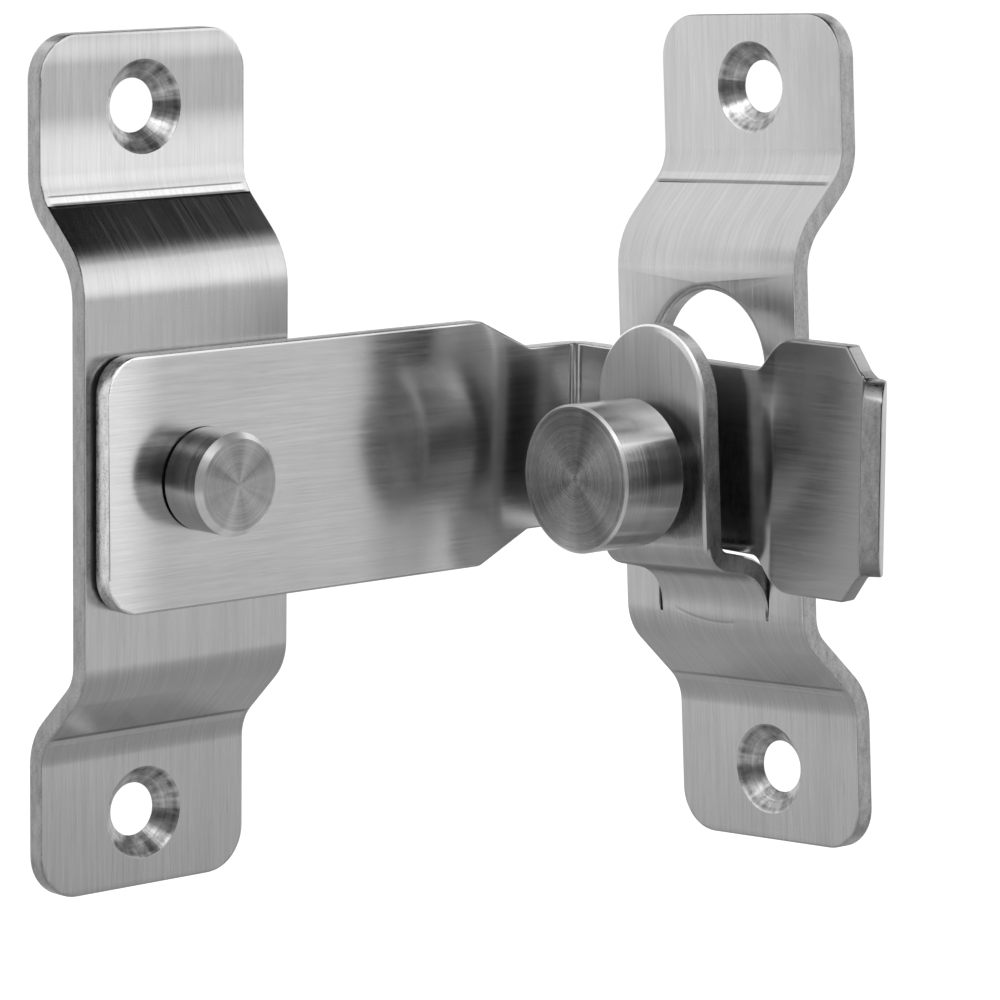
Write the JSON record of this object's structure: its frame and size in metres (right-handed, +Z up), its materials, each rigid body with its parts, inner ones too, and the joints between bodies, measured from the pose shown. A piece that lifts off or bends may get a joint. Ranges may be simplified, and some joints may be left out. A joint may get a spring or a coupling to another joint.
{
  "type": "barn door latch",
  "caption": "Flip latch for a sliding door: a pivoting arm bent at right angles drops behind a lanced hook on a second strap bracket and is clamped by a thumb knob.",
  "frame": {"origin": "middle of the arm bracket's back, on the plane of the door it is screwed to, halfway between its two screw holes", "axes": "+X from the arm's pivot towards the keeper, +Y into the door behind the arm bracket, +Z up"},
  "size_m": [0.0887, 0.065, 0.1013],
  "materials": {
    "bracket": "stainless sheet brushed along its height, sheared edges",
    "arm": "stainless sheet brushed along its length, sheared edges",
    "pin": "turned stainless with fine facing rings",
    "keeper": "stainless sheet brushed along its height, sheared edges",
    "knob": "turned stainless with fine facing rings",
    "stud": "threaded stainless"
  },
  "bodies": {
    "brackets": {"arm_bracket": "bracket", "keeper_bracket": "keeper", "pivot_pin": "pin"},
    "arm": {"latch_arm": "arm"},
    "stud": {"knob_stud": "stud"},
    "knob": {"lock_knob": "knob"}
  },
  "joints": [
    {"name": "arm_swing", "type": "hinge", "parent": "brackets", "child": "arm", "pos_m": [0, -0.0122, -0.0005], "axis": [0, -1, 0], "range_deg": [0, 270]},
    {"name": "stud_travel", "type": "slide", "parent": "brackets", "child": "stud", "axis": [1, 0, 0], "range_m": [-0.0012, 0.0022]},
    {"name": "knob_turn", "type": "hinge", "parent": "stud", "child": "knob", "pos_m": [0.0533, -0.03209, -0.00224], "axis": [1, 0, 0], "range_deg": [-432, 792]}
  ],
  "couplings": [
    {"joint": "knob_turn", "follows": "stud_travel", "rad_per_m": 6283.2}
  ]
}
